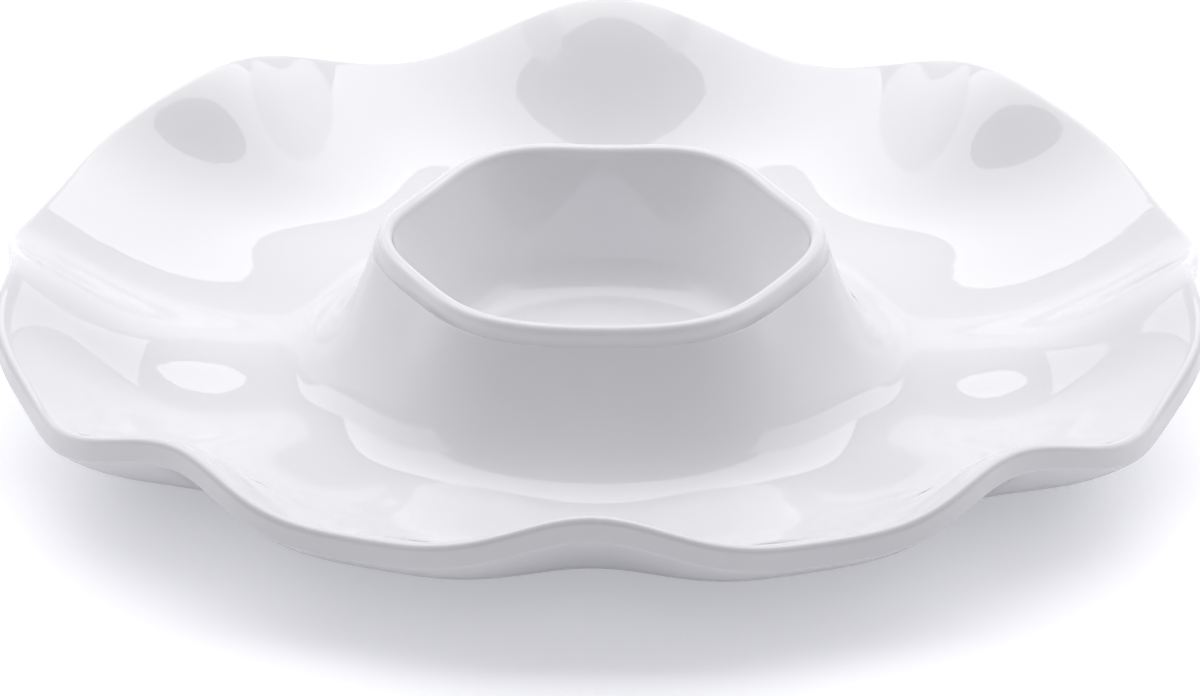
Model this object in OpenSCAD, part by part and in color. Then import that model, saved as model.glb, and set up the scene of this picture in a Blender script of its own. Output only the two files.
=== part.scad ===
// Chip and dip server: a ruffled round tray with a raised collar, a dip bowl held in
// the collar, and a foot ring under the floor.
// Millimetres, +Z up, front towards -Y. The origin is the centre of the footprint, on
// the surface that the server stands on. Angles run from the front towards +X.

/* [Tray] */
// Radius of the rim, to the middle of its rounded top edge
rim_r = 187.5; // [180:0.5:195]
// Mean height of the middle of the rim's rounded top edge
rim_z = 36.5; // [33:0.5:42]
// Radius of the rim's rounded top edge
rim_round = 2.2; // [1.6:0.1:2.6]
// Height of the rim's upright outer face, with its rounded top
edge_h = 8; // [7:0.5:9]
// Radius where the flat floor ends and the outer wall starts to rise
floor_r = 110; // [109:0.5:114]
// Height of the floor's top face
floor_z = 9; // [8:0.5:11]
// Thickness of the floor
floor_t = 5.5; // [4.5:0.5:6]
// How late the outer wall turns up: 1 is a straight cone, 3 a late curl
wall_curl = 2.8; // [2.2:0.1:3]
// How much the outer wall flattens again towards the rim
wall_flare = 1.6; // [0.8:0.1:1.8]

/* [Ruffle] */
// Number of ruffles round the rim
ruffles = 8; // [7:1:9]
// Rise and fall of the ruffles about the rim's mean height
ruffle_h = 6.8; // [3:0.1:8]
// How far the ruffles' crests draw the rim in, and their troughs let it out
ruffle_pull = 2.4; // [0:0.1:3]
// Radius where the ruffles start
ruffle_in = 120; // [112:1:125]

/* [Dip bowl] */
// Radius of the bowl's rim, to the middle of its rounded edge
bowl_r = 66.6; // [64:0.2:68]
// Height of the middle of the bowl rim's rounded edge
bowl_z = 51.4; // [49:0.2:54]
// Radius of the bowl rim's rounded edge
bowl_round = 2.5; // [2.2:0.1:2.8]
// Height of the bowl's floor
well_z = 9; // [8.5:0.5:12]
// Thickness of the bowl's floor and wall
well_t = 4.5; // [3.5:0.5:5]
// Slope of the bowl's wall in degrees
well_lean = 72; // [68:1:76]
// Radius of the curve between the bowl's wall and its floor
well_round = 16.5; // [12:0.5:20]
// Number of soft corners round the bowl's rim
bowl_corners = 6; // [5:1:8]
// How far the corners stand out from the mean rim
corner_reach = 2; // [0:0.1:2.5]

/* [Collar] */
// Radius of the collar's outer face at its joint with the bowl
collar_r = 70.3; // [70:0.1:72]
// How quickly the collar sweeps down into the floor
collar_sweep = 3; // [2.5:0.25:4]
// Width of the joint between the collar and the bowl
joint_w = 3.3; // [3:0.1:4]
// How far the joint lies below the middle of the bowl's rim
joint_drop = 3.5; // [3:0.1:4.5]

/* [Foot] */
// Mean radius of the foot ring
foot_r = 105; // [104.5:0.5:105.5]
// Width of the foot ring's flat face
foot_w = 6; // [5:0.5:8]

/* [Hidden] */
glaze = "whitesmoke";

turn_steps = 96;
angles = [for (i = [0:turn_steps - 1]) i * 360 / turn_steps];
skirt_steps = 9;
wall_steps = 10;
round_steps = 4;
well_steps = 4;
corner_steps = 6;
under_curl = 2.5;
ruffle_ease = 1.25;
fold_in = 88;

// Waves round a rim, each as [waves in a turn, height]. The slow ones and the ones next
// to the ruffle count make each ruffle a little different, as on a hand-formed dish.
rise_waves = [[ruffles, ruffle_h], [2 * ruffles, 0.8], [ruffles - 1, -2],
              [ruffles + 2, 1.2], [ruffles + 3, -1.2], [5, 1.5], [2, 1.6]];
reach_waves = [[ruffles, -ruffle_pull], [2 * ruffles, -1.9], [6, 1], [2, -2.8]];
// Shallow folds that run from the collar's foot out to the ruffles
fold_waves = [[3, 1], [4, -1], [6, -0.7], [9, -0.8], [10, -1], [12, 1]];
bowl_rise_waves = [[bowl_corners, -0.4]];
bowl_reach_waves = [[bowl_corners, -corner_reach]];

under_z = floor_z - floor_t;
edge_low_z = rim_z + rim_round - edge_h;
joint_z = bowl_z - joint_drop;
joint_in_r = collar_r - joint_w;
collar_foot_r = floor_r - 10;
well_in_r = bowl_r - bowl_round;
well_under_z = well_z - well_t;
wall_lean = atan((wall_curl - wall_flare) * (rim_z - floor_z) / (rim_r - floor_r));
top_r = rim_r - rim_round * sin(wall_lean);
top_z = rim_z + rim_round * cos(wall_lean);
skirt_lean = atan(collar_sweep * (joint_z - floor_z) / (floor_r - collar_r));
foot_flare = 1;

function total(v, i = 0) = i == len(v) ? 0 : v[i] + total(v, i + 1);
function waves(list, a) = total([for (w = list) w[1] * cos(w[0] * a)]);
function fade(u) = u * u * (3 - 2 * u);
function mix(a, b, u) = a + (b - a) * u;
function part_way(x, a, b) = max(0, min(1, (x - a) / (b - a)));
function hump(u) = pow(4 * u * (1 - u), 2);

// A section point [radius, height], turned to angle a
function turned(p, a) = [p[0] * sin(a), -p[0] * cos(a), p[1]];

// How far the ruffles and folds lift the top face at angle a and nominal radius r
function lift(a, r) =
    waves(rise_waves, a) * fade(pow(part_way(r, ruffle_in, top_r), ruffle_ease))
    + waves(fold_waves, a) * hump(part_way(r, fold_in, top_r));

// Outer wall's top face at angle a, u from 0 at the floor to 1 at the rim's edge
function wall_point(a, u) = let (r = mix(floor_r, top_r, u)) [
    r + waves(reach_waves, a) * fade(u),
    mix(floor_z, top_z, pow(u, wall_curl) * (1 + wall_flare * (1 - u))) + lift(a, r)];

// Outer wall's underside, u as above
function under_point(a, u) = [
    mix(floor_r, rim_r + rim_round, u) + waves(reach_waves, a) * fade(u),
    mix(under_z, edge_low_z, pow(u, under_curl)) + waves(rise_waves, a) * fade(u)
    + waves(fold_waves, a) * hump(u)];

// Collar at angle a, t from 0 at the joint to 1 at the floor
function skirt_point(a, t, r0, r1, z0) = [
    mix(r0, r1, t) + waves(bowl_reach_waves, a) * pow(1 - t, 2),
    mix(z0, joint_z, pow(1 - t, collar_sweep)) + waves(bowl_rise_waves, a) * pow(1 - t, 2)];

// Collar's top face, which also carries the folds
function collar_point(a, t) =
    skirt_point(a, t, collar_r, floor_r, floor_z) + [0, lift(a, mix(collar_r, floor_r, t))];

// Point on a rounded edge centred at [r, z], at angle b from straight out
function edge_point(r, z, radius, b) = [r + radius * cos(b), z + radius * sin(b)];

// The tray's closed section: down the collar, across the floor, up the wall, over the
// rim, back along the underside and up inside the collar
function tray_section(a) =
    let (c = [rim_r + waves(reach_waves, a), rim_z + waves(rise_waves, a)])
    concat(
        [for (i = [0:skirt_steps]) collar_point(a, pow(i / skirt_steps, 1.4))],
        [for (i = [1:wall_steps]) wall_point(a, i / wall_steps)],
        [for (i = [1:round_steps]) edge_point(c[0], c[1], rim_round,
                                              (90 + wall_lean) * (1 - i / round_steps))],
        [for (i = [wall_steps:-1:0]) under_point(a, i / wall_steps)],
        [for (i = [skirt_steps - 1:-1:0]) skirt_point(a, pow(i / (skirt_steps - 1), 1.3),
                                                      joint_in_r, collar_foot_r, under_z)]);

// The bowl's wall and floor at angle a, from radius r and height z1 at the top, down the
// leaning wall and round the corner to the edge of the flat floor at z0
function well_line(a, r, z0, z1, corner) =
    let (foot_z = z0 + corner * (1 - cos(well_lean)),
         foot_r = r - (z1 - foot_z) / tan(well_lean),
         mid = [foot_r - corner * sin(well_lean), z0 + corner],
         line = concat(
             [for (i = [1:well_steps]) [mix(r, foot_r, i / well_steps),
                                        mix(z1, foot_z, i / well_steps)]],
             [for (i = [1:corner_steps]) edge_point(mid[0], mid[1], corner,
                 well_lean - 90 - well_lean * i / corner_steps)]))
    [for (p = line) let (keep = pow((p[1] - z0) / (z1 - z0), 1.5))
        [p[0] + waves(bowl_reach_waves, a) * keep, p[1] + waves(bowl_rise_waves, a) * keep]];

// The bowl's section from the edge of its flat floor, up the inside, over the rim, along
// the joint and down the outside, without the two points on the axis
function bowl_section(a) =
    let (c = [bowl_r + waves(bowl_reach_waves, a), bowl_z + waves(bowl_rise_waves, a)],
         inside = well_line(a, well_in_r, well_z, bowl_z, well_round))
    concat(
        [for (i = [len(inside) - 1:-1:0]) inside[i]],
        [for (i = [0:2 * round_steps - 1]) edge_point(c[0], c[1], bowl_round,
            180 - (90 + skirt_lean) * i / (2 * round_steps - 1))],
        [skirt_point(a, 0, collar_r, floor_r, floor_z)],
        [skirt_point(a, 0, joint_in_r, collar_foot_r, under_z)],
        well_line(a, joint_in_r, well_under_z, joint_z, well_round + well_t));

// Side faces between neighbouring sections of n points; a closed section also joins its
// last point to its first
function side_faces(n, closed) = [
    for (i = [0:turn_steps - 1]) for (j = [0:n - (closed ? 1 : 2)])
        let (k = (i + 1) % turn_steps, m = (j + 1) % n)
        each [[i * n + j, i * n + m, k * n + m], [i * n + j, k * n + m, k * n + j]]];

module tray() {
    sections = [for (a = angles) tray_section(a)];
    n = len(sections[0]);
    color(glaze)
    polyhedron(points = [for (i = [0:turn_steps - 1]) for (p = sections[i])
                         turned(p, angles[i])],
               faces = side_faces(n, true));
}

module dip_bowl() {
    sections = [for (a = angles) bowl_section(a)];
    n = len(sections[0]);
    top = turn_steps * n;
    caps = [for (i = [0:turn_steps - 1]) let (k = (i + 1) % turn_steps)
            each [[top, i * n, k * n], [top + 1, k * n + n - 1, i * n + n - 1]]];
    color(glaze)
    polyhedron(points = concat([for (i = [0:turn_steps - 1]) for (p = sections[i])
                                turned(p, angles[i])],
                               [[0, 0, well_z], [0, 0, well_under_z]]),
               faces = concat(side_faces(n, false), caps));
}

module foot_ring() {
    color(glaze)
    rotate_extrude($fn = 180)
    polygon([[foot_r - foot_w / 2, 0], [foot_r + foot_w / 2, 0],
             [foot_r + foot_w / 2 + foot_flare, under_z],
             [foot_r - foot_w / 2 - foot_flare, under_z]]);
}

tray();
dip_bowl();
foot_ring();
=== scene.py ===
"""Chip and dip server: a glossy white ruffled tray with a raised collar, a dip bowl and a foot ring.

Everything is in metres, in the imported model's frame: +Z up, the front towards -Y, and the origin
at the centre of the footprint on the table. Angles run from the front towards +X.
"""

import math

import bpy
import numpy as np
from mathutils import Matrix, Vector


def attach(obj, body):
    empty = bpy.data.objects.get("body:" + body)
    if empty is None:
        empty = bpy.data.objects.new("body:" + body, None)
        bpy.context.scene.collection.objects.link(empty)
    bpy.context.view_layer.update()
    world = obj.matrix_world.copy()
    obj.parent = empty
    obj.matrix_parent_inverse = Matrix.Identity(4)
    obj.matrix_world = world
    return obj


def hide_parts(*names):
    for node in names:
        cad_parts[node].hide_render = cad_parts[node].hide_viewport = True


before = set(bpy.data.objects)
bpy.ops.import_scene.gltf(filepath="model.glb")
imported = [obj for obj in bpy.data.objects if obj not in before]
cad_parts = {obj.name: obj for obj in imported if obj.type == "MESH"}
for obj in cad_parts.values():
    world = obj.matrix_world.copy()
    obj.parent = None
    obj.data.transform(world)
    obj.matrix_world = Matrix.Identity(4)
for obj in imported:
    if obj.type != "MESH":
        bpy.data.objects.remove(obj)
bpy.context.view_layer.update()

MM = 0.001

# The design's driving dimensions, in millimetres
RIM_R, RIM_Z, RIM_ROUND = 187.5, 36.5, 2.2
EDGE_H, EDGE_FILLET = 8.0, 0.9
FLOOR_R, FLOOR_Z, FLOOR_T = 110.0, 9.0, 5.5
WALL_CURL, WALL_FLARE, UNDER_CURL = 2.8, 1.6, 2.5
RUFFLES, RUFFLE_H, RUFFLE_PULL = 8, 6.8, 2.4
RUFFLE_IN, RUFFLE_EASE, FOLD_IN = 120.0, 1.25, 88.0
BOWL_R, BOWL_Z, BOWL_ROUND = 66.6, 51.4, 2.5
WELL_Z, WELL_T = 9.0, 4.5
WELL_LEAN, WELL_ROUND = math.radians(72), 16.5
BOWL_CORNERS, CORNER_REACH = 6, 2.0
COLLAR_R, COLLAR_SWEEP = 70.3, 3.0
JOINT_W, JOINT_DROP = 3.3, 3.5
FOOT_R, FOOT_W, FOOT_FLARE = 105.0, 6.0, 1.0

# Waves round a rim, each as (waves in a turn, height)
RISE_WAVES = [(RUFFLES, RUFFLE_H), (2 * RUFFLES, 0.8), (RUFFLES - 1, -2.0),
              (RUFFLES + 2, 1.2), (RUFFLES + 3, -1.2), (5, 1.5), (2, 1.6)]
REACH_WAVES = [(RUFFLES, -RUFFLE_PULL), (2 * RUFFLES, -1.9), (6, 1.0), (2, -2.8)]
FOLD_WAVES = [(3, 1.0), (4, -1.0), (6, -0.7), (9, -0.8), (10, -1.0), (12, 1.0)]
BOWL_RISE_WAVES = [(BOWL_CORNERS, -0.4)]
BOWL_REACH_WAVES = [(BOWL_CORNERS, -CORNER_REACH)]

# Sizes that follow from them
UNDER_Z = FLOOR_Z - FLOOR_T
EDGE_LOW_Z = RIM_Z + RIM_ROUND - EDGE_H
JOINT_Z = BOWL_Z - JOINT_DROP
JOINT_IN_R = COLLAR_R - JOINT_W
COLLAR_FOOT_R = FLOOR_R - 10
WELL_IN_R = BOWL_R - BOWL_ROUND
WELL_UNDER_Z = WELL_Z - WELL_T
WALL_LEAN = math.atan((WALL_CURL - WALL_FLARE) * (RIM_Z - FLOOR_Z) / (RIM_R - FLOOR_R))
TOP_R = RIM_R - RIM_ROUND * math.sin(WALL_LEAN)
TOP_Z = RIM_Z + RIM_ROUND * math.cos(WALL_LEAN)
EDGE_R = RIM_R + RIM_ROUND
SKIRT_LEAN = math.atan(COLLAR_SWEEP * (JOINT_Z - FLOOR_Z) / (FLOOR_R - COLLAR_R))
UNDER_LEAN = math.atan(UNDER_CURL * (EDGE_LOW_Z - UNDER_Z) / (EDGE_R - FLOOR_R))

# Sections round a piece, and the foot ring's
TURN_STEPS, FOOT_STEPS = 480, 240
# Rows across each stretch of the tray's section
COLLAR_ROWS, WALL_ROWS, EDGE_ROWS, FACE_ROWS = 44, 64, 15, 6
FILLET_ROWS, UNDER_ROWS, HOLLOW_ROWS = 7, 34, 30
# Rows across each stretch of the bowl's section
WELL_ROWS, WELL_UNDER_ROWS, BOWL_EDGE_ROWS = 22, 16, 24
# How closely the collar's rows gather at its top, outside and in the hollow
COLLAR_GATHER, HOLLOW_GATHER = 1.4, 1.3
# Rounding of the foot ring's edges, rows round it, and how far its walls spread at that height
FOOT_EASE, FOOT_EASE_ROWS, FOOT_SPREAD = 0.8, 6, 0.2

# White moulding: colour, roughness and its spread, and the mould waves' height and scale
GLAZE = ((0.84, 0.84, 0.85), 0.025, 0.008, 0.0012, 9)
# The foot ring, rubbed duller where it stands
RUBBED = ((0.8, 0.8, 0.8), 0.4, 0.1, 0.0004, 60)
GLAZE_IOR = 1.52
# Noise scales of the tint and of the gloss, and the tinted colour as parts of the plain one
TINT_SCALE, GLOSS_SCALE, TINT = 14, 60, (0.975, 0.975, 0.985)
# The skin's finer and lower waves, as multiples of the mould waves
SKIN_SCALE, SKIN_HEIGHT = 22, 0.02
# The part of the noise's range that is spread over the whole effect
NOISE_MIDDLE = (0.3, 0.7)

# Half the floor's width in metres, its colour, gloss, and the tint and strengths of its glow,
# for light that bounces and for the camera
FLOOR_HALF, FLOOR_COLOUR, FLOOR_ROUGHNESS = 6.0, (0.9, 0.9, 0.91), 0.3
FLOOR_GLOW_TINT, FLOOR_GLOW = (0.94, 0.95, 1), (0.12, 0.3)

# Tint of the surroundings, and their brightness on the camera's side and behind the server,
# with the directions along Y between which one passes into the other
SURROUND_TINT, SURROUND_TURN = (0.96, 0.95, 1.0), (-0.5, 0.4)
CAMERA_SIDE_LIGHT, BACK_SIDE_LIGHT = 0.33, 0.55
# The white backdrop's brightness, the height of its top edge over a slanting distance of 1,
# the softness of that edge, and the directions along Y over which it fades in
BACKDROP_LIGHT, BACKDROP_TOP, BACKDROP_SOFT = 0.95, 0.42, 0.03
BACKDROP_TURN = (0.0, 0.5)
# The overhead panels' height in metres and brightness, and their edges in multiples of the
# height: across, then to the front and the back
PANEL_HEIGHT, MIDDLE_GLOW, SIDE_GLOW = 1.3, 1.95, 1.1
PANEL_SPLIT, PANEL_END = 0.8, 1.5
MIDDLE_FRONT, MIDDLE_BACK = 0.0, 1.02
SIDE_FRONT, SIDE_BACK = -0.2, 1.7

# The camera: its distance in metres and its angles, its focal length in picture widths, and
# the point it aims at, to the side of the middle and below the rim, in millimetres
CAMERA_DISTANCE, LENS_WIDTHS = 3.937, 10.3242
CAMERA_ELEVATION, CAMERA_AZIMUTH = math.radians(26.7), math.radians(0.97)
SENSOR_WIDTH, CLIP_END = 36, 50
AIM_X, AIM_BELOW_RIM = -0.45, 23.3


def waves(terms, angle):
    return sum(h * np.cos(n * angle) for n, h in terms)


def fade(u):
    return u * u * (3 - 2 * u)


def mix(a, b, u):
    return a + (b - a) * u


def part_way(x, a, b):
    return min(max((x - a) / (b - a), 0), 1)


def hump(u):
    return (4 * u * (1 - u)) ** 2


def lift(angle, r):
    """How far the ruffles and folds lift the top face at a nominal radius."""
    return (waves(RISE_WAVES, angle) * fade(part_way(r, RUFFLE_IN, TOP_R) ** RUFFLE_EASE)
            + waves(FOLD_WAVES, angle) * hump(part_way(r, FOLD_IN, TOP_R)))


def wall_line(angle, us):
    """Rows of the outer wall's top face, u from 0 at the floor to 1 at the rim's edge."""
    return [(mix(FLOOR_R, TOP_R, u) + waves(REACH_WAVES, angle) * fade(u),
             mix(FLOOR_Z, TOP_Z, u ** WALL_CURL * (1 + WALL_FLARE * (1 - u)))
             + lift(angle, mix(FLOOR_R, TOP_R, u))) for u in us]


def under_line(angle, us):
    """Rows of the outer wall's underside, u as above."""
    return [(mix(FLOOR_R, EDGE_R, u) + waves(REACH_WAVES, angle) * fade(u),
             mix(UNDER_Z, EDGE_LOW_Z, u ** UNDER_CURL) + waves(RISE_WAVES, angle) * fade(u)
             + waves(FOLD_WAVES, angle) * hump(u)) for u in us]


def skirt_line(angle, ts, r0, r1, z0):
    """Rows of the collar, t from 0 at the joint to 1 at the floor."""
    return [(mix(r0, r1, t) + waves(BOWL_REACH_WAVES, angle) * (1 - t) ** 2,
             mix(z0, JOINT_Z, (1 - t) ** COLLAR_SWEEP) + waves(BOWL_RISE_WAVES, angle) * (1 - t) ** 2)
            for t in ts]


def arc_line(r, z, radius, angles):
    """Rows of a rounded edge about (r, z), angles in radians from straight out."""
    return [(r + radius * math.cos(b), z + radius * math.sin(b)) for b in angles]


def collar_line(angle, ts):
    """Rows of the collar's top face, which also carries the folds."""
    rows = skirt_line(angle, ts, COLLAR_R, FLOOR_R, FLOOR_Z)
    return [(r, z + lift(angle, mix(COLLAR_R, FLOOR_R, t))) for t, (r, z) in zip(ts, rows)]


def well_line(angle, r, z0, z1, corner, steps):
    """Rows of the bowl's leaning wall, from radius r and height z1 at the top, down and round
    the corner to the edge of the flat floor at z0."""
    foot_z = z0 + corner * (1 - math.cos(WELL_LEAN))
    foot_r = r - (z1 - foot_z) / math.tan(WELL_LEAN)
    line = [(mix(r, foot_r, u), mix(z1, foot_z, u)) for u in np.linspace(0, 1, steps)[1:]]
    line += arc_line(foot_r - corner * math.sin(WELL_LEAN), z0 + corner, corner,
                     np.linspace(WELL_LEAN - math.pi / 2, -math.pi / 2, steps)[1:])
    rows = []
    for row_r, row_z in line:
        keep = ((row_z - z0) / (z1 - z0)) ** 1.5
        rows.append((row_r + waves(BOWL_REACH_WAVES, angle) * keep,
                     row_z + waves(BOWL_RISE_WAVES, angle) * keep))
    return rows


def turned_mesh(name, rows, angle, closed, poles=()):
    """A mesh from rows of (radius, height) arrays, one value for each angle. The rows run
    outwards over the top and back underneath, so that the faces look outwards. A closed section
    joins its last row to its first; poles are the heights on the axis that cap an open one."""
    n_rows, n_turn = len(rows), len(angle)
    grid = np.empty((n_rows, n_turn, 3))
    for i, (r, z) in enumerate(rows):
        r, z = np.broadcast_to(r, n_turn), np.broadcast_to(z, n_turn)
        grid[i] = np.stack([r * np.sin(angle), -r * np.cos(angle), z], axis=1)
    points = [tuple(p) for p in (grid.reshape(-1, 3) * MM)]
    faces = []
    for i in range(n_rows if closed else n_rows - 1):
        below = (i + 1) % n_rows
        for k in range(n_turn):
            after = (k + 1) % n_turn
            faces.append((i * n_turn + k, below * n_turn + k,
                          below * n_turn + after, i * n_turn + after))
    for height, row, flip in zip(poles, (0, n_rows - 1), (True, False)):
        tip = len(points)
        points.append((0.0, 0.0, height * MM))
        for k in range(n_turn):
            after = (k + 1) % n_turn
            ring = (row * n_turn + after, row * n_turn + k)
            faces.append((tip, *(ring[::-1] if flip else ring)))
    mesh = bpy.data.meshes.new(name)
    mesh.from_pydata(points, [], faces)
    mesh.validate()
    mesh.polygons.foreach_set("use_smooth", [True] * len(mesh.polygons))
    mesh.update()
    piece = bpy.data.objects.new(name, mesh)
    bpy.context.scene.collection.objects.link(piece)
    return piece


def tray_piece():
    angle = np.linspace(0, 2 * math.pi, TURN_STEPS, endpoint=False)
    rise, reach = waves(RISE_WAVES, angle), waves(REACH_WAVES, angle)
    tangent = EDGE_FILLET / math.tan((math.pi / 2 + UNDER_LEAN) / 2)
    fillet_u = 1 - tangent * math.cos(UNDER_LEAN) / (EDGE_R - FLOOR_R)
    rows = collar_line(angle, np.linspace(0, 1, COLLAR_ROWS) ** COLLAR_GATHER)
    rows += wall_line(angle, np.linspace(0, 1, WALL_ROWS)[1:])
    rows += arc_line(RIM_R + reach, RIM_Z + rise, RIM_ROUND,
                     np.linspace(math.pi / 2 + WALL_LEAN, 0, EDGE_ROWS)[1:])
    rows += [(EDGE_R + reach, mix(RIM_Z, EDGE_LOW_Z + tangent, u) + rise)
             for u in np.linspace(0, 1, FACE_ROWS)[1:]]
    rows += arc_line(EDGE_R - EDGE_FILLET + reach, EDGE_LOW_Z + tangent + rise, EDGE_FILLET,
                     np.linspace(0, UNDER_LEAN - math.pi / 2, FILLET_ROWS)[1:])
    rows += under_line(angle, np.linspace(fillet_u, 0, UNDER_ROWS)[1:])
    rows += skirt_line(angle, np.linspace(1, 0, HOLLOW_ROWS) ** HOLLOW_GATHER,
                       JOINT_IN_R, COLLAR_FOOT_R, UNDER_Z)
    return turned_mesh("tray_moulding", rows, angle, closed=True)


def bowl_piece():
    angle = np.linspace(0, 2 * math.pi, TURN_STEPS, endpoint=False)
    rise, reach = waves(BOWL_RISE_WAVES, angle), waves(BOWL_REACH_WAVES, angle)
    inside = well_line(angle, WELL_IN_R, WELL_Z, BOWL_Z, WELL_ROUND, WELL_ROWS)
    floor_rows = [(inside[-1][0] * part, inside[-1][1]) for part in (0.25, 0.5, 0.75)]
    rows = floor_rows + inside[::-1]
    rows += arc_line(BOWL_R + reach, BOWL_Z + rise, BOWL_ROUND,
                     np.linspace(math.pi, math.pi / 2 - SKIRT_LEAN, BOWL_EDGE_ROWS))
    rows += skirt_line(angle, [0], COLLAR_R, FLOOR_R, FLOOR_Z)
    rows += skirt_line(angle, [0], JOINT_IN_R, COLLAR_FOOT_R, UNDER_Z)
    rows += well_line(angle, JOINT_IN_R, WELL_UNDER_Z, JOINT_Z, WELL_ROUND + WELL_T,
                      WELL_UNDER_ROWS)
    return turned_mesh("dip_bowl_moulding", rows, angle, closed=False,
                       poles=(WELL_Z, WELL_UNDER_Z))


def foot_piece():
    angle = np.linspace(0, 2 * math.pi, FOOT_STEPS, endpoint=False)
    inner, outer = FOOT_R - FOOT_W / 2, FOOT_R + FOOT_W / 2
    mid_in, mid_out = inner + FOOT_EASE - FOOT_SPREAD / 2, outer - FOOT_EASE + FOOT_SPREAD / 2
    section = [(inner - FOOT_FLARE, UNDER_Z), (inner - FOOT_SPREAD, FOOT_EASE)]
    section += arc_line(mid_in, FOOT_EASE, FOOT_EASE,
                        np.linspace(math.pi, 1.5 * math.pi, FOOT_EASE_ROWS))
    section += arc_line(mid_out, FOOT_EASE, FOOT_EASE,
                        np.linspace(-math.pi / 2, 0, FOOT_EASE_ROWS))
    section += [(outer + FOOT_SPREAD, FOOT_EASE), (outer + FOOT_FLARE, UNDER_Z)]
    return turned_mesh("foot_ring_moulding", section[::-1], angle, closed=True)


def ranged(tree, value, source, target, smooth=False):
    """A value carried from one range to another and held at its ends."""
    node = tree.nodes.new("ShaderNodeMapRange")
    if smooth:
        node.interpolation_type = "SMOOTHSTEP"
    for name, number in zip(("From Min", "From Max", "To Min", "To Max"), (*source, *target)):
        node.inputs[name].default_value = number
    tree.links.new(value, node.inputs["Value"])
    return node.outputs["Result"]


def camera_ray(tree):
    return tree.nodes.new("ShaderNodeLightPath").outputs["Is Camera Ray"]


def glaze_material(name, colour, roughness, spread, wave_height, wave_scale):
    """White moulding: slow waviness from the mould, a fine skin, and a gloss that varies."""
    material = bpy.data.materials.new(name)
    material.use_nodes = True
    tree = material.node_tree
    nodes, links = tree.nodes, tree.links
    shader = nodes["Principled BSDF"]
    shader.inputs["IOR"].default_value = GLAZE_IOR
    place = nodes.new("ShaderNodeTexCoord").outputs["Object"]

    def noise(scale, detail):
        node = nodes.new("ShaderNodeTexNoise")
        node.inputs["Scale"].default_value = scale
        node.inputs["Detail"].default_value = detail
        links.new(place, node.inputs["Vector"])
        return node.outputs["Fac"]

    tint = nodes.new("ShaderNodeMix")
    tint.data_type = "RGBA"
    tint.inputs["A"].default_value = (*colour, 1)
    tint.inputs["B"].default_value = (*[c * part for c, part in zip(colour, TINT)], 1)
    links.new(ranged(tree, noise(TINT_SCALE, 3), NOISE_MIDDLE, (0, 1)), tint.inputs["Factor"])
    links.new(tint.outputs["Result"], shader.inputs["Base Color"])
    gloss = ranged(tree, noise(GLOSS_SCALE, 4), NOISE_MIDDLE,
                   (roughness - spread, roughness + spread))
    links.new(gloss, shader.inputs["Roughness"])
    slow = nodes.new("ShaderNodeBump")
    slow.inputs["Distance"].default_value = wave_height
    links.new(noise(wave_scale, 1), slow.inputs["Height"])
    fine = nodes.new("ShaderNodeBump")
    fine.inputs["Distance"].default_value = wave_height * SKIN_HEIGHT
    links.new(noise(wave_scale * SKIN_SCALE, 2), fine.inputs["Height"])
    links.new(slow.outputs["Normal"], fine.inputs["Normal"])
    links.new(fine.outputs["Normal"], shader.inputs["Normal"])
    return material


def floor_material():
    """White card with a faint sheen, its shadow opened up a little where it is seen directly."""
    material = bpy.data.materials.new("pale_floor")
    material.use_nodes = True
    tree = material.node_tree
    shader = tree.nodes["Principled BSDF"]
    shader.inputs["Base Color"].default_value = (*FLOOR_COLOUR, 1)
    shader.inputs["Roughness"].default_value = FLOOR_ROUGHNESS
    shader.inputs["Emission Color"].default_value = (*FLOOR_GLOW_TINT, 1)
    glow = ranged(tree, camera_ray(tree), (0, 1), FLOOR_GLOW)
    tree.links.new(glow, shader.inputs["Emission Strength"])
    return material


def add_floor():
    half = FLOOR_HALF
    mesh = bpy.data.meshes.new("floor")
    mesh.from_pydata([(-half, -half, 0), (half, -half, 0), (half, half, 0), (-half, half, 0)],
                     [], [(0, 1, 2, 3)])
    floor = bpy.data.objects.new("floor", mesh)
    bpy.context.scene.collection.objects.link(floor)
    mesh.materials.append(floor_material())


def studio_world():
    """Soft surroundings, darker on the camera's side, with a white backdrop low down behind
    the server. Where the camera looks past the floor it sees plain white."""
    world = bpy.data.worlds.new("studio")
    world.use_nodes = True
    tree = world.node_tree
    nodes, links = tree.nodes, tree.links

    def blend(factor, low, high):
        node = nodes.new("ShaderNodeMix")
        node.inputs["B"].default_value = high
        links.new(factor, node.inputs["Factor"])
        links.new(low, node.inputs["A"])
        return node.outputs["Result"]

    split = nodes.new("ShaderNodeSeparateXYZ")
    links.new(nodes.new("ShaderNodeTexCoord").outputs["Generated"], split.inputs["Vector"])
    along_y, along_z = split.outputs["Y"], split.outputs["Z"]
    soft = ranged(tree, along_y, SURROUND_TURN, (CAMERA_SIDE_LIGHT, BACK_SIDE_LIGHT), smooth=True)
    backdrop = nodes.new("ShaderNodeMath")
    backdrop.operation = "MULTIPLY"
    low_down = ranged(tree, along_z, (BACKDROP_TOP, BACKDROP_TOP - BACKDROP_SOFT), (0, 1))
    behind = ranged(tree, along_y, BACKDROP_TURN, (0, 1), smooth=True)
    links.new(low_down, backdrop.inputs[0])
    links.new(behind, backdrop.inputs[1])
    lit = blend(backdrop.outputs["Value"], soft, BACKDROP_LIGHT)
    background = nodes["Background"]
    background.inputs["Color"].default_value = (*SURROUND_TINT, 1)
    links.new(blend(camera_ray(tree), lit, 1.0), background.inputs["Strength"])
    return world


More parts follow.
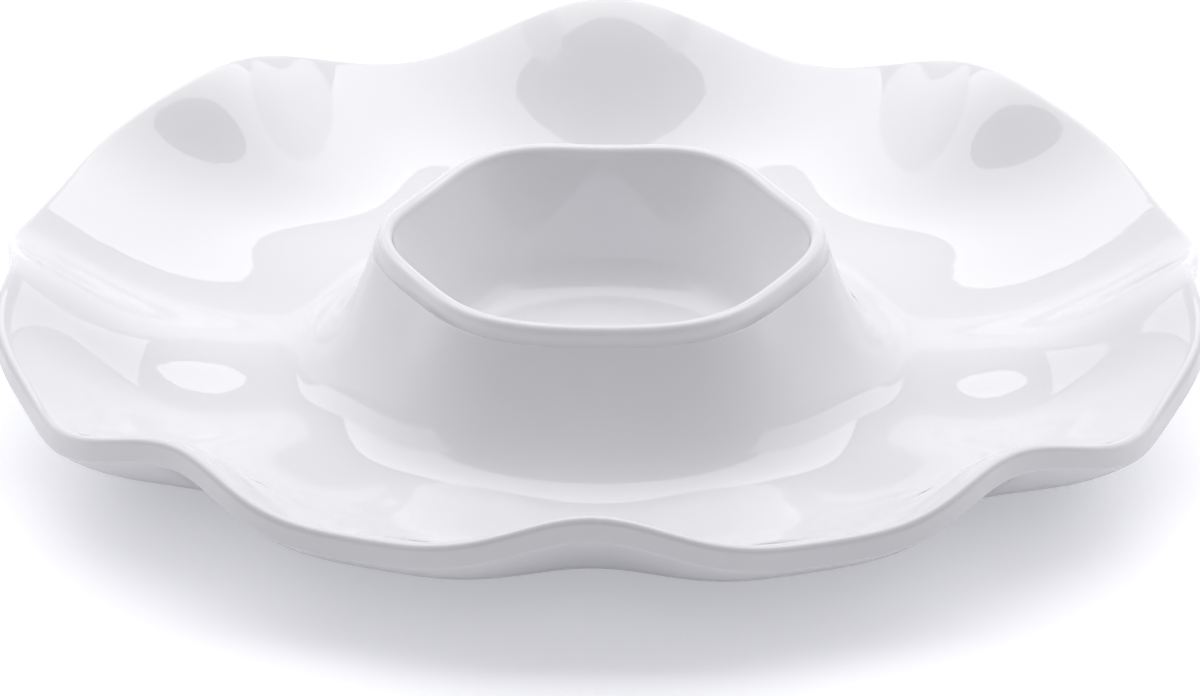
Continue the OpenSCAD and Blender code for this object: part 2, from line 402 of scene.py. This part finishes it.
def add_panel(name, left, right, front, back, glow):
    """A flat softbox facing straight down, its edges given as multiples of its height."""
    size = ((right - left) * PANEL_HEIGHT, (back - front) * PANEL_HEIGHT)
    light = bpy.data.lights.new(name, "AREA")
    light.shape = "RECTANGLE"
    light.size, light.size_y = size
    light.energy = glow * math.pi * size[0] * size[1]
    lamp = bpy.data.objects.new(name, light)
    lamp.location = ((left + right) / 2 * PANEL_HEIGHT, (front + back) / 2 * PANEL_HEIGHT,
                     PANEL_HEIGHT)
    bpy.context.scene.collection.objects.link(lamp)


def add_studio():
    """A bright panel overhead, a weaker one on either side that reaches further to the front
    and to the back, and the surroundings."""
    add_panel("overhead_left", -PANEL_END, -PANEL_SPLIT, SIDE_FRONT, SIDE_BACK, SIDE_GLOW)
    add_panel("overhead_middle", -PANEL_SPLIT, PANEL_SPLIT, MIDDLE_FRONT, MIDDLE_BACK,
              MIDDLE_GLOW)
    add_panel("overhead_right", PANEL_SPLIT, PANEL_END, SIDE_FRONT, SIDE_BACK, SIDE_GLOW)
    bpy.context.scene.world = studio_world()
    bpy.context.scene.view_settings.view_transform = "Standard"


def add_camera():
    """The photograph's angle: a long lens, a little to the right, looking down at the front."""
    target = Vector((AIM_X * MM, 0, (RIM_Z - AIM_BELOW_RIM) * MM))
    back = Vector((math.sin(CAMERA_AZIMUTH) * math.cos(CAMERA_ELEVATION),
                   -math.cos(CAMERA_AZIMUTH) * math.cos(CAMERA_ELEVATION),
                   math.sin(CAMERA_ELEVATION)))
    data = bpy.data.cameras.new("camera")
    data.sensor_width = SENSOR_WIDTH
    data.lens = SENSOR_WIDTH * LENS_WIDTHS
    data.clip_end = CLIP_END
    camera = bpy.data.objects.new("camera", data)
    bpy.context.scene.collection.objects.link(camera)
    camera.location = target + back * CAMERA_DISTANCE
    camera.rotation_euler = (-back).to_track_quat("-Z", "Y").to_euler()
    bpy.context.scene.camera = camera


def keep(piece, node, slot, material):
    piece.data.materials.append(material)
    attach(piece, "root")
    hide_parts(node)


add_camera()
add_floor()
add_studio()

keep(tray_piece(), "tray", "glaze", glaze_material("tray_glaze", *GLAZE))
keep(bowl_piece(), "dip_bowl", "bowl_glaze", glaze_material("bowl_glaze", *GLAZE))
keep(foot_piece(), "foot_ring", "foot", glaze_material("foot_glaze", *RUBBED))
